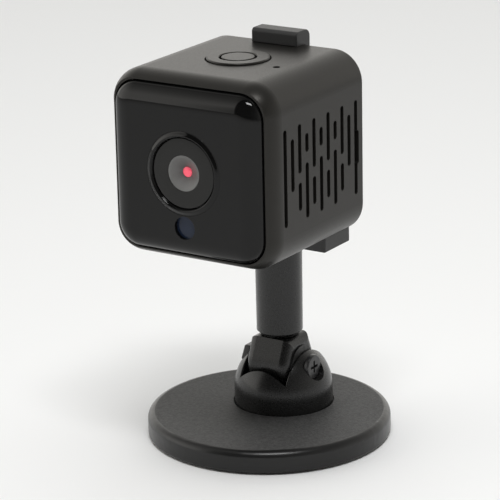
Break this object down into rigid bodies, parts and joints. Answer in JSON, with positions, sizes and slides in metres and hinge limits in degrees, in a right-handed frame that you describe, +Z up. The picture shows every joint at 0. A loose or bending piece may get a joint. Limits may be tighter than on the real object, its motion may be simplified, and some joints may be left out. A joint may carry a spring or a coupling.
{
  "type": "cube security camera on a clip stand",
  "caption": "Small cube camera with a gloss front, round lens and slotted side vents, clipped into a bracket on a tilting, swivelling arm with a round disc base.",
  "frame": {"origin": "middle of the adhesive pad's underside, which is the middle of the round base", "axes": "+Z up along the arm, the lens looks along -Y, +X is to the right when facing the lens from the front"},
  "size_m": [0.051, 0.0553, 0.0851],
  "materials": {
    "body_plastic": "satin black plastic with a fine grain",
    "gloss_plastic": "polished black plastic",
    "stand_plastic": "black plastic with a fine sandy texture",
    "dial": "dark grey-black printed window",
    "lens_grey": "grey cone round the lens",
    "red_glass": "red filter",
    "lens_glass": "clear lens",
    "sensor_blue": "dark blue window",
    "steel": "plated steel",
    "black_steel": "black-plated steel",
    "foam": "foam adhesive",
    "board": "green circuit board",
    "component": "moulded component",
    "battery_wrap": "silver pouch",
    "flex": "amber flexible circuit",
    "mesh": "black dust mesh",
    "card": "black memory card"
  },
  "bodies": {
    "base": {"base_disc": "stand_plastic", "adhesive_pad": "foam"},
    "hub": {"swivel_hub": "stand_plastic", "hub_washer": "steel", "hub_screw": "steel", "hinge_screw": "black_steel", "hinge_nut": "black_steel", "tilt_washers": "component"},
    "arm": {"knuckle": "stand_plastic", "swivel_washer": "steel", "swivel_screw": "steel"},
    "head": {"arm_tube": "stand_plastic", "camera_bracket": "stand_plastic", "housing": "body_plastic", "rear_cover": "body_plastic", "cover_screws": "steel", "front_panel": "gloss_plastic", "lens_ring": "gloss_plastic", "lens_dial": "dial", "lens_cone": "lens_grey", "red_filter": "red_glass", "front_lens": "lens_glass", "lens_barrel": "component", "lens_holder": "component", "image_sensor": "component", "sensor_window": "sensor_blue", "front_board": "board", "light_sensor": "component", "ir_lights": "component", "main_board": "board", "board_screws": "steel", "processor": "component", "radio_shield": "steel", "antenna": "flex", "battery_pad": "foam", "battery": "battery_wrap", "speaker": "component", "microphone": "steel", "vent_mesh": "mesh", "button_ring": "body_plastic", "switch_board": "board", "power_switch": "component", "rear_board": "board", "usb_port": "steel", "flex_cable": "flex", "card_socket": "steel", "card_board": "board"},
    "button": {"power_button": "body_plastic"},
    "plunger": {"switch_plunger": "component"},
    "card": {"memory_card": "card"}
  },
  "joints": [
    {"name": "base_swivel", "type": "hinge", "parent": "base", "child": "hub", "pos_m": [0, 0.0058, 0.0044], "axis": [0, 0, 1], "continuous": true},
    {"name": "arm_tilt", "type": "hinge", "parent": "hub", "child": "arm", "pos_m": [0, 0.0047, 0.014], "axis": [1, 0, 0], "range_deg": [-90, 40]},
    {"name": "head_swivel", "type": "hinge", "parent": "arm", "child": "head", "pos_m": [0, 0.0047, 0.0201], "axis": [0, 0, 1], "range_deg": [-30, 30]},
    {"name": "power_button_press", "type": "slide", "parent": "head", "child": "button", "axis": [0, 0, -1], "range_m": [0, 0.0003], "stiffness_N_per_m": 1500},
    {"name": "switch_plunger_press", "type": "slide", "parent": "head", "child": "plunger", "axis": [0, 0, -1], "range_m": [0, 0.0003]},
    {"name": "memory_card_slide", "type": "slide", "parent": "head", "child": "card", "axis": [0, 1, 0], "range_m": [0, 0.012]}
  ],
  "couplings": [
    {"joint": "switch_plunger_press", "follows": "power_button_press", "ratio": 1}
  ]
}
